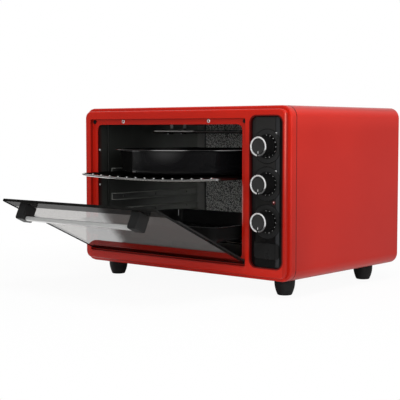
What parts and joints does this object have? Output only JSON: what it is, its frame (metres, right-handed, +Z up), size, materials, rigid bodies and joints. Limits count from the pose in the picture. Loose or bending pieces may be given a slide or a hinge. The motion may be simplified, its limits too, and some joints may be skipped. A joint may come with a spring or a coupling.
{
  "type": "countertop electric oven",
  "caption": "Countertop electric oven with a drop-down smoked glass door, bar handle, side control panel with rotary knobs, wire rack with round pan, and baking tray.",
  "frame": {"origin": "centre of the whole footprint, with the door on its open stop, on the surface that the feet stand on", "axes": "+X to the right seen from the front, +Y from the front to the back, +Z up"},
  "size_m": [0.52, 0.6126, 0.341],
  "materials": {
    "red_paint": "gloss enamel paint on steel",
    "zinc_sheet": "satin galvanised sheet",
    "cavity_enamel": "dark satin vitreous enamel",
    "back_enamel": "grey pebbled vitreous enamel",
    "panel_plastic": "smooth semi-gloss",
    "knob_plastic": "fine satin",
    "lens_plastic": "clear red",
    "lamp_body": "natural",
    "chrome_plate": "bright",
    "switch_steel": "satin",
    "door_glass": "smoked, reflective",
    "handle_aluminium": "satin anodised",
    "bracket_plastic": "fine satin",
    "element_steel": "heat-tinted",
    "ceramic": "glazed steatite",
    "rack_chrome": "bright plated wire",
    "pan_enamel": "gloss black vitreous enamel",
    "foot_rubber": "matte",
    "buffer_rubber": "matte"
  },
  "bodies": {
    "cabinet": {"front_frame": "red_paint", "outer_shell": "red_paint", "base_plate": "zinc_sheet", "rear_panel": "zinc_sheet", "control_bracket": "zinc_sheet", "inlet_bush": "bracket_plastic", "hinge_bush_left": "bracket_plastic", "hinge_bush_right": "bracket_plastic", "control_panel": "panel_plastic", "indicator_lens": "lens_plastic", "indicator_lamp": "lamp_body", "thermostat_body": "switch_steel", "selector_switch": "switch_steel", "timer_body": "switch_steel", "cavity_left": "cavity_enamel", "cavity_right": "cavity_enamel", "cavity_floor": "cavity_enamel", "cavity_roof": "cavity_enamel", "cavity_back": "back_enamel", "runner_upper_left": "zinc_sheet", "runner_upper_right": "zinc_sheet", "runner_middle_left": "zinc_sheet", "runner_middle_right": "zinc_sheet", "runner_lower_left": "zinc_sheet", "runner_lower_right": "zinc_sheet", "top_heater": "element_steel", "bottom_heater": "element_steel", "top_hanger": "element_steel", "bottom_support": "element_steel", "top_heater_bush": "ceramic", "bottom_heater_bush": "ceramic", "door_buffer_left": "buffer_rubber", "door_buffer_right": "buffer_rubber", "foot_front_left": "foot_rubber", "foot_front_right": "foot_rubber", "foot_rear_left": "foot_rubber", "foot_rear_right": "foot_rubber"},
    "door": {"door_glass": "door_glass", "hinge_arm_left": "switch_steel", "hinge_arm_right": "switch_steel", "handle_bracket_left": "bracket_plastic", "handle_bracket_right": "bracket_plastic", "handle_bar": "handle_aluminium", "handle_screw_left": "chrome_plate", "handle_screw_right": "chrome_plate"},
    "rack": {"wire_rack": "rack_chrome", "round_pan": "pan_enamel"},
    "tray": {"baking_tray": "pan_enamel"},
    "thermostat_control": {"thermostat_knob": "knob_plastic", "thermostat_knob_ring": "chrome_plate", "thermostat_shaft": "switch_steel"},
    "selector_control": {"selector_knob": "knob_plastic", "selector_knob_ring": "chrome_plate", "selector_shaft": "switch_steel"},
    "timer_control": {"timer_knob": "knob_plastic", "timer_knob_ring": "chrome_plate", "timer_shaft": "switch_steel"}
  },
  "joints": [
    {"name": "door_hinge", "type": "hinge", "parent": "cabinet", "child": "door", "pos_m": [0, -0.06597, 0.059], "axis": [-1, 0, 0], "range_deg": [0, 65]},
    {"name": "rack_slide", "type": "slide", "parent": "cabinet", "child": "rack", "axis": [0, 1, 0], "range_m": [0, 0.072]},
    {"name": "tray_slide", "type": "slide", "parent": "cabinet", "child": "tray", "axis": [0, 1, 0], "range_m": [0, 0.072]},
    {"name": "thermostat_turn", "type": "hinge", "parent": "cabinet", "child": "thermostat_control", "pos_m": [0.211, -0.07967, 0.26894], "axis": [0, 1, 0], "range_deg": [0, 285]},
    {"name": "selector_turn", "type": "hinge", "parent": "cabinet", "child": "selector_control", "pos_m": [0.211, -0.07967, 0.20234], "axis": [0, 1, 0], "range_deg": [0, 270]},
    {"name": "timer_turn", "type": "hinge", "parent": "cabinet", "child": "timer_control", "pos_m": [0.211, -0.07967, 0.13574], "axis": [0, 1, 0], "range_deg": [0, 330]}
  ],
  "couplings": [
    {"joint": "rack_slide", "follows": "door_hinge", "m_per_rad": 0.06346},
    {"joint": "tray_slide", "follows": "door_hinge", "m_per_rad": 0.06346}
  ]
}
